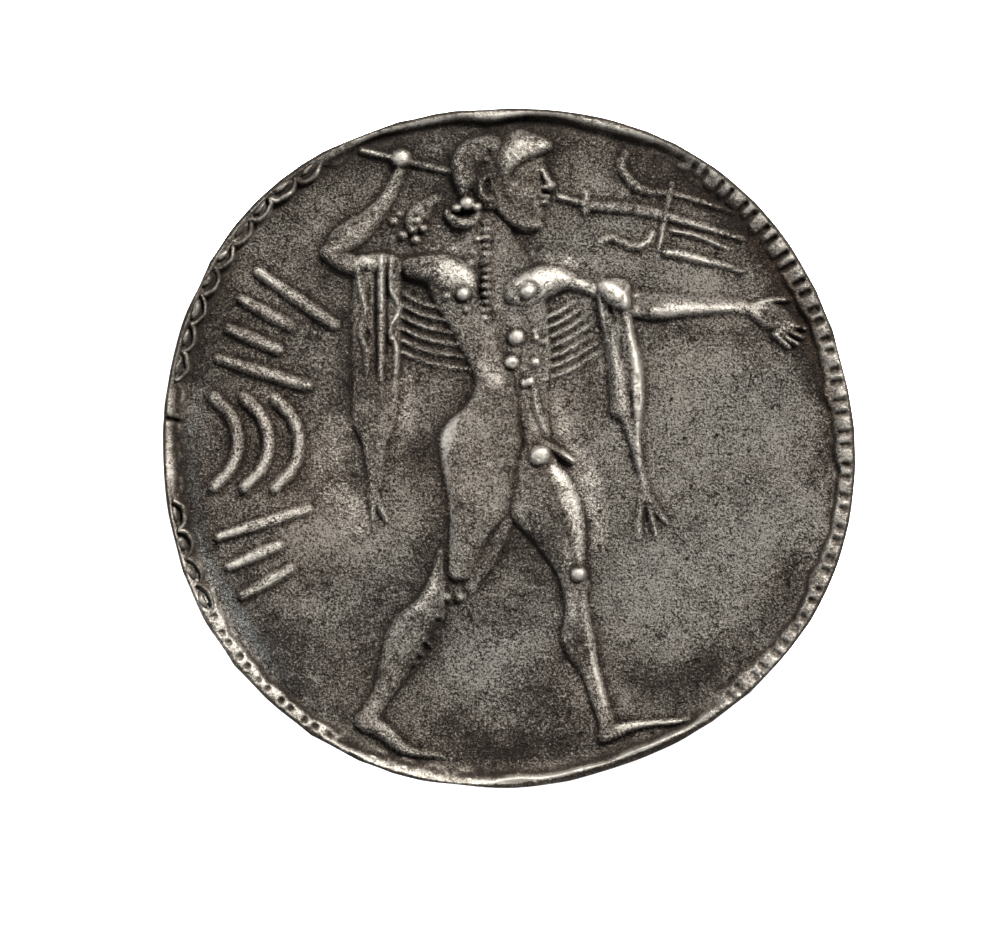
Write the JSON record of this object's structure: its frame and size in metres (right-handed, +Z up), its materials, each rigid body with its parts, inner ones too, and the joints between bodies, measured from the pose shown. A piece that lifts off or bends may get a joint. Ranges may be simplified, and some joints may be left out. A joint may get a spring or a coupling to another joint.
{
  "type": "incuse silver coin",
  "caption": "Broad thin struck silver coin: a striding man in relief inside a cable border, with the same figure sunk into the reverse.",
  "frame": {"origin": "under the middle of the flan's bounding box, in the plane of the reverse that the coin lies on", "axes": "+Z up out of the obverse, +Y towards the figure's head, +X the way the figure strides"},
  "size_m": [0.0295, 0.029, 0.0018],
  "materials": {
    "silver": "old struck silver: pale and worn on the high points, finely pitted, with a near-black brown patina in the recesses"
  },
  "bodies": {
    "root": {"coin": "silver"}
  },
  "joints": []
}
